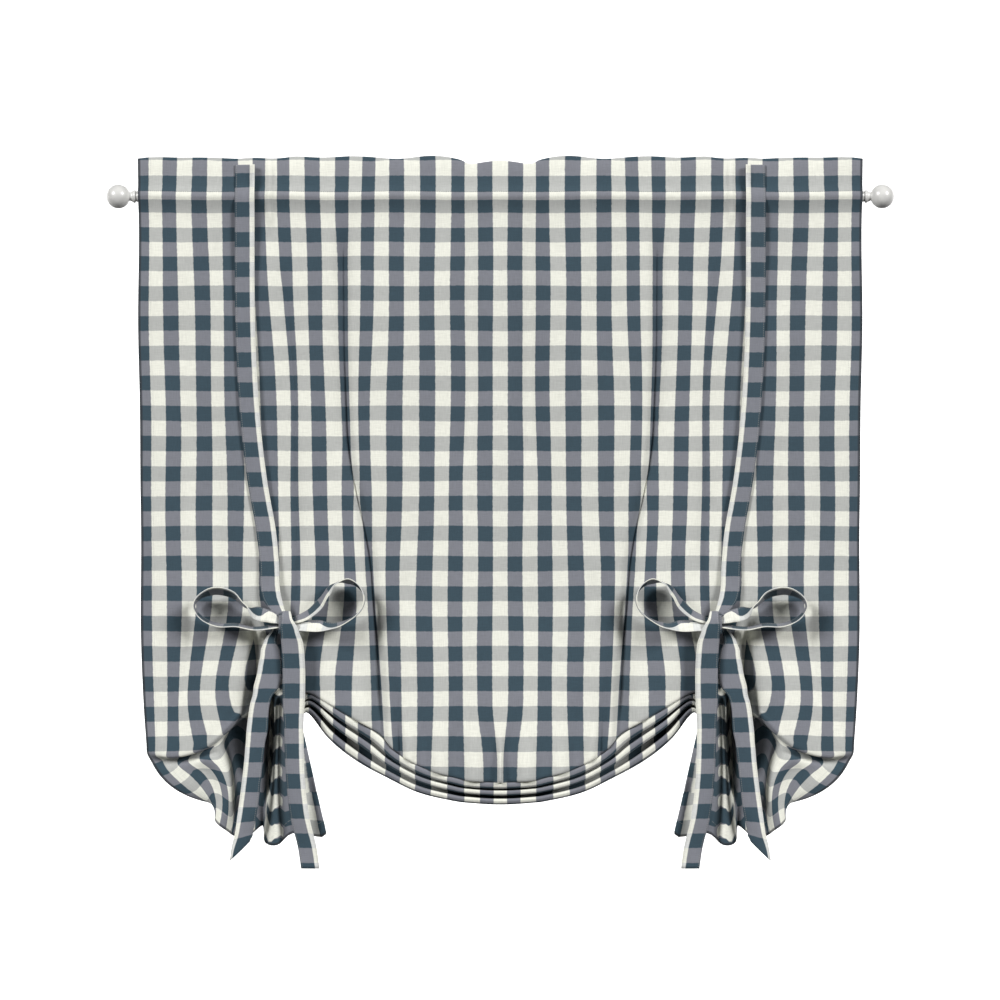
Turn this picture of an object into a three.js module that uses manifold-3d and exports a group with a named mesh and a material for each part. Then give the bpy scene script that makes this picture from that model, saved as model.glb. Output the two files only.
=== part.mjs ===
import * as THREE from 'three';
import { mergeVertices } from 'three/addons/utils/BufferGeometryUtils.js';
import Module from 'manifold-3d';

const wasm = await Module();
wasm.setup();

// Sizes in millimetres. The rod lies along X through the origin, +Z is up and the room is at -Y.
// "Out" is the distance from the middle of the shade towards a side, "deep" is along +Y.
const rod = { radius: 8, halfLength: 534, sides: 28 };
const finial = { gap: 0.3, collarRadius: 9.5, collarLength: 4, neckRadius: 6 };
const ball = { radius: 17.6, out: 560, rings: 12 };
const cloth = { thickness: 1.6, rodGap: 0.65 };
const heading = { layerDeep: 1.7, upperSeam: 17, lowerSeam: -22, turn: 2 };
const wrapAngle = THREE.MathUtils.degToRad(29);
const hang = { seamDeep: -2.7, deep: -6, upperLevel: -131, midLevel: -328, lowLevel: -460, tieLevel: -592 };
const belly = { share: 0.7, brimRise: 13, brimDeep: -1, troughKept: 0.3 };
const fold = { headingShare: 0.5, headingRise: 30, hangDrop: 70, fadeShare: 0.12, endless: -900 };
const tie = { thickness: 1.5 };
const knot = { out: 314, deep: -21, level: -626, halfOut: 12, halfDeep: 10, halfTall: 17 };

// How finely the cloth and the ribbons are faceted, down a gap between two stations.
const steps = { heading: 1, hang: 1, belly: 2, fold: 3, hem: 2, ribbon: 3 };
const knotFacets = { around: 14, tall: 10 };

function table(columns, rows) {
  return rows.map((row) => Object.fromEntries(columns.map((name, i) => [name, row[i]])));
}

// Sections of the panel from the middle to the side hem: where each thread line of the flat cloth
// crosses the rod, half way down, the tie and the belly of the hanging cloth, and the facets to the next.
const hangSections = table(
  ['flat', 'topOut', 'topLevel', 'midOut', 'tieOut', 'bellyOut', 'bellyDeep', 'facets'],
  [
    [0, 0, 52, 0, 0, 0, -15, 2],
    [44, 43, 49, 43, 45, 44, -14, 1],
    [66, 61, 54, 63, 66, 65, -15, 2],
    [110, 107, 59, 107, 110, 110, -13, 2],
    [154, 152, 54, 154, 159, 153, -13, 2],
    [198, 193, 59, 201, 191, 185, -5, 2],
    [242, 232, 58, 228, 226, 230, -12, 2],
    [286, 275, 57, 267, 268, 274, -10, 2],
    [300, 289, 57, 279, 280, 286, -3, 2],
    [312, 301, 57, 288, 288, 294, 7, 2],
    [325, 314, 56, 298, 298, 302, 7, 2],
    [341, 327, 56, 308, 308, 311, 9, 2],
    [363, 345, 56, 327, 322, 322, 8, 2],
    [385, 364, 56, 351, 341, 336, 9, 2],
    [396, 374, 56, 363, 349, 348, 6, 2],
    [407, 385, 56, 376, 364, 373, -9, 2],
    [429, 408, 57, 402, 393, 406, -13, 2],
    [462, 440, 56, 433, 437, 448, -12, 2],
    [506, 485, 57, 480, 480, 479, -9, 2],
    [556, 531, 55, 528, 526, 523, -5, 0],
  ],
);

// The same sections below the belly. From the bend the cloth runs past the way point to its hem, and
// every second of its six lower stations is tucked up behind the one before, so that it lies in folds.
const lowerSections = table(
  ['bendOut', 'bendLevel', 'bendDeep', 'wayOut', 'wayLevel', 'hemOut', 'hemLevel', 'foldDeep', 'hemDeep',
    'firstTuck', 'nextTucks'],
  [
    [0, -857, -17, 0, -875, 0, -891, -9, 32, 16, 15],
    [43, -855, -16, 44, -872, 45, -888, -8, 33, 17, 16],
    [63, -851, -17, 65, -869, 68, -885, -9, 32, 18, 17],
    [112, -837, -15, 118, -856, 122, -873, -7, 33, 20, 19],
    [150, -815, -15, 160, -834, 169, -851, -7, 33, 22, 21],
    [187, -787, -10, 200, -806, 212, -826, -3, 34, 24, 22],
    [231, -756, -12, 242, -775, 253, -794, -5, 33, 22, 19],
    [274, -730, -9, 279, -743, 285, -757, -2, 33, 13, 11],
    [289, -726, 5, 293, -757, 296, -790, 13, 34, 2, 1],
    [299, -725, 15, 301, -795, 300, -866, 22, 27, 0, 0],
    [304, -724, 12, 279, -826, 256, -935, 9, 0, 0, 0],
    [313, -724, 18, 307, -834, 301, -941, 17, 13, 0, 0],
    [323, -724, 14, 320, -834, 316, -950, 12, -4, 0, 0],
    [338, -724, 14, 341, -834, 345, -950, 12, -4, 0, 0],
    [351, -724, 15, 355, -834, 358, -939, 15, 12, 0, 0],
    [375, -752, 0, 366, -834, 373, -942, 4, -6, 4, 0],
    [399, -781, -12, 370, -826, 388, -938, 1, -6, 9, 0],
    [433, -809, -14, 385, -844, 399, -931, 0, -5, 10, 0],
    [479, -822, -12, 408, -848, 417, -914, 1, -3, 9, 0],
    [518, -815, -6, 492, -887, 400, -893, -1, 12, 0, 0],
  ],
);
const lowerStations = 6;

// Soft upright folds in the hanging cloth. A trough runs from one level to another, and between the two
// levels of its move it wanders from one thread line to the next.
const troughs = table(
  ['topFlat', 'lowFlat', 'moveFrom', 'moveTo', 'deep', 'halfWidth', 'fromLevel', 'toLevel'],
  [
    [242, 197, -330, -545, 13, 15, 0, -900],
    [334, 322, -90, -600, 8, 11, -90, -600],
    [44, 44, 0, -420, 5, 13, 70, -420],
    [134, 126, -540, -900, 5, 12, -540, -900],
    [440, 446, -40, -640, 4, 14, -40, -640],
    [484, 478, -300, -760, 4, 13, -300, -760],
  ],
);

// The parts of one tie. A ribbon row gives a point on its middle line, its width there, and the way that
// its width points: lean turns it from upright towards deep, yaw from sideways towards deep, and drop
// from sideways towards the floor.
const strap = table(
  ['out', 'deep', 'level', 'width'],
  [
    [374, -4.4, 46, 29],
    [374, -4.8, 34, 29],
    [374, -6, 17, 29],
    [374, -12, 0, 29],
    [374, -10.5, -28, 29],
    [373, -10.5, -196, 29],
    [366, -10.5, -326, 29],
    [357, -10.5, -420, 28],
    [347, -11, -488, 28],
    [340, -12, -533, 27],
    [335, -15, -587, 25],
    [318, -21, -618, 16],
  ],
);
const outerLoop = table(
  ['out', 'deep', 'level', 'width', 'lean'],
  [
    [320, -22, -621, 14, 60],
    [338, -27, -614, 20, 50],
    [356, -30, -610, 25, 80],
    [373, -30, -599, 28, 108],
    [388, -30, -584, 29, 114],
    [405, -30, -578, 29, 114],
    [421, -30, -578, 29, 112],
    [441, -30, -588, 29, 102],
    [447, -30, -601, 29, 92],
    [435, -30, -618, 29, 84],
    [411, -30, -628, 29, 82],
    [385, -30, -628, 28, 82],
    [359, -28, -633, 22, 80],
    [322, -24, -629, 14, 70],
  ],
);
const innerLoop = table(
  ['out', 'deep', 'level', 'width', 'lean'],
  [
    [308, -24, -628, 14, 60],
    [290, -28, -629, 19, 50],
    [268, -31, -629, 25, 54],
    [242, -32, -629, 28, 76],
    [218, -32, -619, 29, 86],
    [202, -32, -604, 29, 90],
    [198, -32, -587, 29, 94],
    [206, -32, -571, 29, 102],
    [221, -32, -563, 29, 106],
    [238, -32, -566, 28, 90],
    [254, -30, -582, 27, 60],
    [272, -27, -599, 24, 50],
    [308, -20, -622, 14, 50],
  ],
);
const outerTail = table(
  ['out', 'deep', 'level', 'width', 'yaw', 'drop'],
  [
    [325, -20, -630, 14, 0, 0],
    [339, -22, -654, 19, 3, 0],
    [345, -22, -690, 26, 5, 0],
    [350, -22, -724, 29, 10, 0],
    [355, -21, -782, 32, 5, 0],
    [360, -21, -830, 32, 0, 0],
    [366, -20, -892, 31, -5, 0],
    [374, -21, -930, 28, -20, 8],
    [380, -24, -958, 42, -22, 42],
  ],
);
const innerTail = table(
  ['out', 'deep', 'level', 'width', 'yaw', 'drop'],
  [
    [313, -15, -612, 10, 0, 0],
    [312, -25, -608, 12, 0, 0],
    [311, -33, -617, 15, 0, 0],
    [309, -34, -634, 19, 0, 0],
    [306, -30, -656, 24, -3, 0],
    [304, -28, -690, 28, -5, 0],
    [303, -27, -724, 28, -5, 0],
    [303, -27, -782, 26, 0, 0],
    [300, -26, -850, 29, 10, 0],
    [292, -26, -910, 29, 15, 0],
    [282, -26, -950, 28, 10, 0],
    [277, -26, -983, 27, 0, 0],
  ],
);

const gingham = new THREE.MeshStandardMaterial({ color: 0x8b98a3, roughness: 0.9, metalness: 0 });
const paint = new THREE.MeshStandardMaterial({ color: 0xe9e9e6, roughness: 0.45, metalness: 0 });

const sideways = new THREE.Vector3(1, 0, 0);
const inwards = new THREE.Vector3(0, 1, 0);
const upwards = new THREE.Vector3(0, 0, 1);
const toLeft = new THREE.Vector3(-1, 1, 1);

function mix(from, to, share) {
  return from + (to - from) * share;
}

// Rises smoothly from 0 to 1 as value goes from start to end, in either direction.
function smooth(start, end, value) {
  const t = THREE.MathUtils.clamp((value - start) / (end - start), 0, 1);
  return t * t * (3 - 2 * t);
}

function cubic(before, from, to, after, t) {
  const slopeFrom = (to - before) / 2;
  const slopeTo = (after - from) / 2;
  const t2 = t * t;
  const t3 = t2 * t;
  return (2 * t3 - 3 * t2 + 1) * from + (t3 - 2 * t2 + t) * slopeFrom + (3 * t2 - 2 * t3) * to
    + (t3 - t2) * slopeTo;
}

// A row of the table between two sections. Past the middle the shade mirrors itself.
function sectionAt(rows, place) {
  const last = rows.length - 1;
  const index = Math.min(Math.floor(place), last - 1);
  const row = {};
  for (const name of Object.keys(rows[0])) {
    const mirror = name.endsWith('Out') || name === 'flat' ? -1 : 1;
    const value = (i) => {
      if (i < 0) return mirror * rows[-i][name];
      if (i > last) return 2 * rows[last][name] - rows[last - 1][name];
      return rows[i][name];
    };
    row[name] = cubic(value(index - 1), value(index), value(index + 1), value(index + 2), place - index);
  }
  return row;
}

function troughDepth(flat, level) {
  let deep = 0;
  for (const trough of troughs) {
    const down = (trough.fromLevel - level) / (trough.fromLevel - trough.toLevel);
    const share = THREE.MathUtils.clamp(down, 0, 1);
    const moved = smooth(trough.moveFrom, trough.moveTo, level);
    const off = (flat - mix(trough.topFlat, trough.lowFlat, moved)) / trough.halfWidth;
    const start = smooth(0, fold.fadeShare, share);
    const end = trough.toLevel > fold.endless ? smooth(1, 1 - fold.fadeShare, share) : 1;
    deep += trough.deep * Math.exp(-off * off) * start * end;
  }
  return deep;
}

// Stations down one thread line: up behind the rod, over the heading, down the face and into the folds.
function threadStations(place) {
  const top = sectionAt(hangSections, place);
  const low = sectionAt(lowerSections, place);
  const wrap = rod.radius + cloth.rodGap + cloth.thickness / 2;
  const cosWrap = wrap * Math.cos(wrapAngle);
  const sinWrap = wrap * Math.sin(wrapAngle);
  const point = (out, deep, level, gap) => ({ spot: new THREE.Vector3(out, deep, level), gap });
  const shoulder = top.topLevel - heading.turn;
  const bellyLevel = mix(hang.tieLevel, low.bendLevel, belly.share);
  const brimLevel = low.bendLevel + belly.brimRise;
  const brimShare = (brimLevel - bellyLevel) / (low.bendLevel - bellyLevel);
  const list = [
    point(top.topOut, heading.layerDeep, heading.lowerSeam, steps.heading),
    point(top.topOut, cosWrap, -sinWrap, steps.heading),
    point(top.topOut, wrap, 0, steps.heading),
    point(top.topOut, cosWrap, sinWrap, steps.heading),
    point(top.topOut, heading.layerDeep, heading.upperSeam, steps.heading),
    point(top.topOut, heading.layerDeep, shoulder, steps.heading),
    point(top.topOut, 0, top.topLevel, steps.heading),
    point(top.topOut, -heading.layerDeep, shoulder, steps.heading),
    point(top.topOut, -heading.layerDeep, heading.upperSeam, steps.heading),
    point(top.topOut, -cosWrap, sinWrap, steps.heading),
    point(top.topOut, -wrap, 0, steps.heading),
    point(top.topOut, -cosWrap, -sinWrap, steps.heading),
    point(top.topOut, hang.seamDeep, heading.lowerSeam, steps.belly),
    point(mix(top.topOut, top.midOut, 1 / 3), hang.deep, hang.upperLevel, steps.hang),
    point(top.midOut, hang.deep, hang.midLevel, steps.hang),
    point(mix(top.midOut, top.tieOut, 1 / 2), hang.deep, hang.lowLevel, steps.hang),
    point(top.tieOut, hang.deep, hang.tieLevel, steps.belly),
    point(top.bellyOut, top.bellyDeep, bellyLevel, steps.hang),
    point(mix(top.bellyOut, low.bendOut, brimShare), low.bendDeep + belly.brimDeep, brimLevel, steps.hang),
    point(low.bendOut, low.bendDeep, low.bendLevel, steps.fold),
  ];
  for (let k = 1; k <= lowerStations; k += 1) {
    const t = k / lowerStations;
    const blend = (bend, way, hem) => (1 - t) * (1 - t) * bend + 2 * t * (1 - t) * way + t * t * hem;
    const tuck = k % 2 === 0 ? 0 : (k === 1 ? low.firstTuck : low.nextTucks);
    const deep = mix(low.foldDeep, low.hemDeep, (k - 1) / (lowerStations - 1));
    const out = blend(low.bendOut, low.wayOut, low.hemOut);
    const level = blend(low.bendLevel, low.wayLevel, low.hemLevel) + tuck;
    list.push(point(out, deep, level, k + 1 < lowerStations ? steps.fold : steps.hem));
  }
  return { list, flat: top.flat, bellyLevel, bendLevel: low.bendLevel };
}

// One thread line as points, with the upright folds laid over it below the pocket and in the heading.
function threadLine(place) {
  const { list, flat, bellyLevel, bendLevel } = threadStations(place);
  const curve = new THREE.CatmullRomCurve3(list.map((station) => station.spot), false, 'centripetal');
  const gaps = list.length - 1;
  const bend = gaps - lowerStations;
  const line = [];
  for (let i = 0; i <= gaps; i += 1) {
    const count = i < gaps ? list[i].gap : 1;
    for (let j = 0; j < count; j += 1) {
      const spot = curve.getPoint((i + j / count) / gaps);
      const hanging = smooth(heading.lowerSeam, heading.lowerSeam - fold.hangDrop, spot.z);
      const standing = smooth(heading.upperSeam, heading.upperSeam + fold.headingRise, spot.z);
      const shown = Math.max(hanging, fold.headingShare * standing);
      const settled = mix(1, belly.troughKept, i < bend ? smooth(bellyLevel, bendLevel, spot.z) : 1);
      spot.y += troughDepth(flat, Math.max(spot.z, bendLevel)) * shown * settled;
      line.push(spot);
    }
  }
  return line;
}

// The normal of one cell of a grid of points, or none past its rim.
function cellNormal(grid, r, c) {
  const normal = new THREE.Vector3();
  if (r < 0 || c < 0 || r + 1 >= grid.length || c + 1 >= grid[0].length) return normal;
  const falling = grid[r + 1][c + 1].clone().sub(grid[r][c]);
  const rising = grid[r][c + 1].clone().sub(grid[r + 1][c]);
  return normal.crossVectors(falling, rising).normalize();
}

// A closed solid around a grid of points: the grid moved half the thickness to each side, and its rim.
function thickSheet(grid, thickness) {
  const rows = grid.length;
  const columns = grid[0].length;
  const positions = [];
  for (const side of [1, -1]) {
    for (let r = 0; r < rows; r += 1) {
      for (let c = 0; c < columns; c += 1) {
        const normal = new THREE.Vector3();
        for (const row of [r - 1, r]) normal.add(cellNormal(grid, row, c - 1)).add(cellNormal(grid, row, c));
        const moved = grid[r][c].clone().addScaledVector(normal.normalize(), side * thickness / 2);
        positions.push(moved.x, moved.y, moved.z);
      }
    }
  }
  const at = (side, r, c) => side * rows * columns + r * columns + c;
  const faces = [];
  const quad = (a, b, c, d) => faces.push(a, b, c, a, c, d);
  for (let r = 0; r + 1 < rows; r += 1) {
    for (let c = 0; c + 1 < columns; c += 1) {
      quad(at(0, r, c), at(0, r + 1, c), at(0, r + 1, c + 1), at(0, r, c + 1));
      quad(at(1, r, c), at(1, r, c + 1), at(1, r + 1, c + 1), at(1, r + 1, c));
    }
    quad(at(0, r, 0), at(1, r, 0), at(1, r + 1, 0), at(0, r + 1, 0));
    quad(at(0, r, columns - 1), at(0, r + 1, columns - 1), at(1, r + 1, columns - 1), at(1, r, columns - 1));
  }
  for (let c = 0; c + 1 < columns; c += 1) {
    quad(at(0, 0, c), at(0, 0, c + 1), at(1, 0, c + 1), at(1, 0, c));
    quad(at(0, rows - 1, c), at(1, rows - 1, c), at(1, rows - 1, c + 1), at(0, rows - 1, c + 1));
  }
  const geometry = new THREE.BufferGeometry();
  geometry.setAttribute('position', new THREE.Float32BufferAttribute(positions, 3));
  geometry.setIndex(faces);
  return geometry;
}

function panelGeometry() {
  const places = [];
  hangSections.forEach(({ facets }, i) => {
    for (let j = 0; j < Math.max(facets, 1); j += 1) places.push(i + j / Math.max(facets, 1));
  });
  const half = places.map(threadLine);
  const flipped = half.slice(1).reverse().map((line) => line.map((spot) => spot.clone().multiply(toLeft)));
  const lines = [...flipped, ...half];
  const grid = lines[0].map((_, r) => lines.map((line) => line[r]));
  return thickSheet(grid, cloth.thickness);
}

// A ribbon along a smooth line through its rows. A loop's width is kept square to the line.
function ribbonGeometry(rows, widthWay, square) {
  const centres = rows.map((row) => new THREE.Vector3(row.out, row.deep, row.level));
  const curve = new THREE.CatmullRomCurve3(centres, false, 'centripetal');
  const gaps = rows.length - 1;
  const grid = [];
  for (let i = 0; i <= gaps * steps.ribbon; i += 1) {
    const place = i / steps.ribbon;
    const index = Math.min(Math.floor(place), gaps - 1);
    const share = smooth(0, 1, place - index);
    const width = mix(rows[index].width, rows[index + 1].width, share);
    const way = widthWay(rows[index]).lerp(widthWay(rows[index + 1]), share);
    const tangent = curve.getTangent(place / gaps);
    if (square) way.addScaledVector(tangent, -way.dot(tangent));
    way.normalize();
    const centre = curve.getPoint(place / gaps);
    grid.push([-0.5, 0.5].map((edge) => centre.clone().addScaledVector(way, edge * width)));
  }
  return thickSheet(grid, tie.thickness);
}

function toSolid(geometry) {
  for (const name of Object.keys(geometry.attributes)) {
    if (name !== 'position') geometry.deleteAttribute(name);
  }
  const merged = mergeVertices(geometry, 1e-4);
  const mesh = new wasm.Mesh({
    numProp: 3,
    vertProperties: merged.attributes.position.array,
    triVerts: new Uint32Array(merged.index.array),
  });
  return new wasm.Manifold(mesh);
}

function toGeometry(solid) {
  const mesh = solid.getMesh();
  const geometry = new THREE.BufferGeometry();
  geometry.setAttribute('position', new THREE.BufferAttribute(mesh.vertProperties, 3));
  geometry.setIndex(new THREE.BufferAttribute(mesh.triVerts, 1));
  return geometry;
}

function knotGeometry() {
  const geometry = new THREE.SphereGeometry(1, knotFacets.around, knotFacets.tall);
  geometry.scale(knot.halfOut, knot.halfDeep, knot.halfTall);
  geometry.translate(knot.out, knot.deep, knot.level);
  return geometry;
}

function turned(degrees, from, to) {
  const angle = THREE.MathUtils.degToRad(degrees);
  return from.clone().multiplyScalar(Math.cos(angle)).addScaledVector(to, Math.sin(angle));
}

// The whole tie on the +X side, from its sewn end to its free ends.
function tieGeometry() {
  const loopWay = (row) => turned(row.lean, upwards, inwards);
  const tailWay = (row) => turned(row.drop, turned(row.yaw, sideways, inwards), upwards.clone().negate());
  const pieces = [
    ribbonGeometry(strap, () => sideways.clone(), false),
    ribbonGeometry(outerLoop, loopWay, true),
    ribbonGeometry(innerLoop, loopWay, true),
    ribbonGeometry(outerTail, tailWay, false),
    ribbonGeometry(innerTail, tailWay, false),
  ];
  return toGeometry(pieces.map(toSolid).reduce((whole, piece) => whole.add(piece), toSolid(knotGeometry())));
}

function mirrored(geometry) {
  const copy = geometry.clone();
  copy.scale(-1, 1, 1);
  const index = copy.index.array;
  for (let i = 0; i < index.length; i += 3) [index[i], index[i + 1]] = [index[i + 1], index[i]];
  return copy;
}

function rodGeometry() {
  const geometry = new THREE.CylinderGeometry(rod.radius, rod.radius, 2 * rod.halfLength, rod.sides);
  geometry.rotateZ(Math.PI / 2);
  return geometry;
}

// A turned ball on a short neck and collar, its axis along +X and its seat on the rod's end.
function finialGeometry() {
  const start = rod.halfLength + finial.gap;
  const profile = [
    new THREE.Vector2(0, start),
    new THREE.Vector2(finial.collarRadius, start),
    new THREE.Vector2(finial.collarRadius, start + finial.collarLength),
  ];
  const neckAngle = Math.asin(finial.neckRadius / ball.radius);
  for (let i = 0; i <= ball.rings; i += 1) {
    const angle = mix(neckAngle, Math.PI, i / ball.rings);
    const radius = i === ball.rings ? 0 : ball.radius * Math.sin(angle);
    profile.push(new THREE.Vector2(radius, ball.out - ball.radius * Math.cos(angle)));
  }
  const geometry = new THREE.LatheGeometry(profile, rod.sides);
  geometry.rotateZ(-Math.PI / 2);
  return geometry;
}

const shade = new THREE.Group();

function addPart(name, geometry, material) {
  const mesh = new THREE.Mesh(geometry, material);
  mesh.name = name;
  shade.add(mesh);
  return mesh;
}

addPart('panel', panelGeometry(), gingham);
const tieRight = tieGeometry();
addPart('tie_right', tieRight, gingham);
addPart('tie_left', mirrored(tieRight), gingham);
addPart('rod', rodGeometry(), paint);
addPart('finial_right', finialGeometry(), paint);
const finialLeft = addPart('finial_left', finialGeometry(), paint);
finialLeft.rotation.z = Math.PI;

export default shade;
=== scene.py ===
import math

import bmesh
import bpy
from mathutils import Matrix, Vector


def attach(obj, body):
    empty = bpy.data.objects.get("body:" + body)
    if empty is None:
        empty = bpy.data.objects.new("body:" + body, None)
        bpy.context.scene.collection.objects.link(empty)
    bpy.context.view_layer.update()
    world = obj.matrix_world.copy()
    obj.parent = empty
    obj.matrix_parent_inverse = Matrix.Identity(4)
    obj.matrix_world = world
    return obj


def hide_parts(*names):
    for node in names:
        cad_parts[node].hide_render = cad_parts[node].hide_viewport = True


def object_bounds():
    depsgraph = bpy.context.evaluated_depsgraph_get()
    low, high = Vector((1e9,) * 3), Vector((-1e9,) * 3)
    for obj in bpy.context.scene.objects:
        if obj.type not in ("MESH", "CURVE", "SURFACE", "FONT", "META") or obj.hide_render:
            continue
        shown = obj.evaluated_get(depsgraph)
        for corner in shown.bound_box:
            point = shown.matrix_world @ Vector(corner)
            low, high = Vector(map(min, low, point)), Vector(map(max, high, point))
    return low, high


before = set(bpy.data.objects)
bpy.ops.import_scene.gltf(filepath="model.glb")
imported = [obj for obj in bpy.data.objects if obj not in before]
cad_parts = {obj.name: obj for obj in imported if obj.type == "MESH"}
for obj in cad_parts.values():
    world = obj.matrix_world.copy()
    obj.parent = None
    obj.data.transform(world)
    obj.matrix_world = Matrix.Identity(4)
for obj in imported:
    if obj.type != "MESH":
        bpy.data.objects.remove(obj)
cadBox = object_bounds()
scene = bpy.context.scene
mm = 0.001  # the tables below are in millimetres, as the part's source is

# camera, square on to the shade as in the photograph
view = {
    "pixels": 1000, "millimetresPerPixel": 1.46667, "middleX": 500.25, "rodY": 196.5,
    "lens": 120, "sensor": 36,
}


def addCamera():
    half = view["pixels"] / 2
    scale = view["millimetresPerPixel"] * mm
    camera = bpy.data.objects.new("camera", bpy.data.cameras.new("camera"))
    camera.data.lens = view["lens"]
    camera.data.sensor_width = view["sensor"]
    back = view["pixels"] * scale * view["lens"] / view["sensor"]
    camera.location = ((half - view["middleX"]) * scale, -back, (view["rodY"] - half) * scale)
    camera.rotation_euler = (math.pi / 2, 0, 0)
    scene.collection.objects.link(camera)
    scene.camera = camera


# studio: a pale floor that sweeps up far behind, a soft box at each side in front,
# and a little light from all round
studio = {
    "floorDrop": 1.2, "floorHalf": 30.0, "sweepStart": 6.0, "sweepRadius": 1.5, "wallHeight": 6.0,
    "arcSteps": 16, "floorPale": (0.14, 0.14, 0.14, 1), "wallPale": (0.9, 0.9, 0.9, 1),
    "paleFrom": 3.0, "paleTo": 6.0, "floorRoughness": 0.9, "glow": 0.45, "ambient": 0.025,
    "softBoxes": {"leftBox": -48, "rightBox": 48},  # each with its azimuth
    "boxRise": 26, "boxStrength": 2.58, "boxSpread": 20, "boxAway": 6,
}


def addStudio():
    scene.view_settings.view_transform = "Standard"
    scene.world = bpy.data.worlds.new("studioAir")
    scene.world.use_nodes = True
    air = scene.world.node_tree.nodes["Background"]
    air.inputs["Color"].default_value = (1, 1, 1, 1)
    air.inputs["Strength"].default_value = studio["ambient"]

    sweep = bmesh.new()
    steps = studio["arcSteps"]
    bmesh.ops.create_grid(sweep, x_segments=1, y_segments=steps + 2, size=1)
    level = cadBox[0].z - studio["floorDrop"]
    start, radius, half = studio["sweepStart"], studio["sweepRadius"], studio["floorHalf"]
    for vert in sweep.verts:
        step = round((vert.co.y + 1) / 2 * (steps + 2))
        turn = min(max((step - 1) / steps, 0), 1) * math.pi / 2
        y = start + radius * math.sin(turn) if step else -half
        wall = studio["wallHeight"] if step > steps + 1 else 0
        vert.co = (vert.co.x * half, y, level + radius * (1 - math.cos(turn)) + wall)
    addPiece("floor", sweep, [paleMaterial()])

    rise = math.radians(studio["boxRise"])
    for name, azimuth in studio["softBoxes"].items():
        data = bpy.data.lights.new(name, "SUN")
        data.energy = studio["boxStrength"]
        data.angle = math.radians(studio["boxSpread"])
        light = bpy.data.objects.new(name, data)
        side = math.radians(azimuth)
        toBox = Vector((math.sin(side) * math.cos(rise), -math.cos(side) * math.cos(rise), math.sin(rise)))
        light.location = toBox * studio["boxAway"]
        light.rotation_euler = (-toBox).to_track_quat("-Z", "Y").to_euler()
        scene.collection.objects.link(light)


def mix(a, b, t):
    return a + (b - a) * t


def smooth(start, end, value):  # rises from 0 at start to 1 at end, in either direction
    t = min(max((value - start) / (end - start), 0), 1)
    return t * t * (3 - 2 * t)


def hermite(a, b, slopeA, slopeB, t):
    t2, t3 = t * t, t * t * t
    return (a * (2 * t3 - 3 * t2 + 1) + slopeA * (t3 - 2 * t2 + t)
            + b * (3 * t2 - 2 * t3) + slopeB * (t3 - t2))


def throughPoints(points, place):  # a smooth line through points, without overshoot at uneven spacing
    index = min(int(place), len(points) - 2)
    a, b = points[index], points[index + 1]
    before = points[index - 1] if index else a * 2 - b
    after = points[index + 2] if index + 2 < len(points) else b * 2 - a
    d0, d1, d2 = (a - before).length ** 0.5, (b - a).length ** 0.5, (after - b).length ** 0.5
    slopeA = ((a - before) / d0 - (b - before) / (d0 + d1) + (b - a) / d1) * d1
    slopeB = ((b - a) / d1 - (after - a) / (d1 + d2) + (after - b) / d2) * d1
    return hermite(a, b, slopeA, slopeB, place - index)


def alongTable(pairs, value):  # straight between (value, result) pairs, and on past the ends
    index = 0
    while index < len(pairs) - 2 and value > pairs[index + 1][0]:
        index += 1
    (x0, y0), (x1, y1) = pairs[index], pairs[index + 1]
    return y0 + (y1 - y0) * (value - x0) / (x1 - x0)


def waves(rows, flat, level):  # rows of size, length across, length down and start
    return sum(size * math.sin(flat / wide + level / tall + begin) for size, wide, tall, begin in rows)


def named(columns, rows):
    return [dict(zip(columns, row)) for row in rows]


def addPiece(name, bm, materials):
    mesh = bpy.data.meshes.new(name)
    bm.to_mesh(mesh)
    bm.free()
    for polygon in mesh.polygons:
        polygon.use_smooth = True
    for material in materials:
        mesh.materials.append(material)
    piece = bpy.data.objects.new(name, mesh)
    scene.collection.objects.link(piece)
    return piece


# materials: one wrapped socket, so that shader sums read as Python
class Wire:
    def __init__(self, tree, socket=None):
        self.tree = tree
        self.socket = socket

    def node(self, kind, settings=None, sockets=None, out=0):
        made = self.tree.nodes.new(kind)
        for key, value in (settings or {}).items():
            setattr(made, key, value)
        for key, value in (sockets or {}).items():
            if isinstance(value, Wire):
                self.tree.links.new(value.socket, made.inputs[key])
            else:
                made.inputs[key].default_value = value
        return Wire(self.tree, made.outputs[out])

    def maths(self, operation, *others):
        return self.node("ShaderNodeMath", {"operation": operation}, dict(enumerate((self, *others))))

    def __add__(self, other):
        return self.maths("ADD", other)

    def __sub__(self, other):
        return self.maths("SUBTRACT", other)

    def __rsub__(self, other):
        return self.node("ShaderNodeMath", {"operation": "SUBTRACT"}, {0: other, 1: self})

    def __mul__(self, other):
        return self.maths("MULTIPLY", other)

    def __truediv__(self, other):
        return self.maths("DIVIDE", other)

    __radd__ = __add__
    __rmul__ = __mul__

    def ramp(self, low, high):  # 0 at low, 1 at high, eased
        return self.node("ShaderNodeMapRange", {"interpolation_type": "SMOOTHSTEP"},
                         {"Value": self, "From Min": low, "From Max": high})

    def blend(self, a, b):  # colours a and b, by this value
        sockets = {"Factor": self, "A": a, "B": b}
        return self.node("ShaderNodeMix", {"data_type": "RGBA"}, sockets, out="Result")

    def noise(self, scale, detail=2.0, flat=True):  # cloudy values, with this as their coordinate
        sockets = {"Vector": self, "Scale": scale, "Detail": detail}
        return self.node("ShaderNodeTexNoise", {"noise_dimensions": "2D" if flat else "3D"}, sockets)


def startMaterial(name, roughness):
    material = bpy.data.materials.new(name)
    material.use_nodes = True
    shader = material.node_tree.nodes["Principled BSDF"]
    shader.inputs["Roughness"].default_value = roughness
    return material, shader, Wire(material.node_tree)


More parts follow.
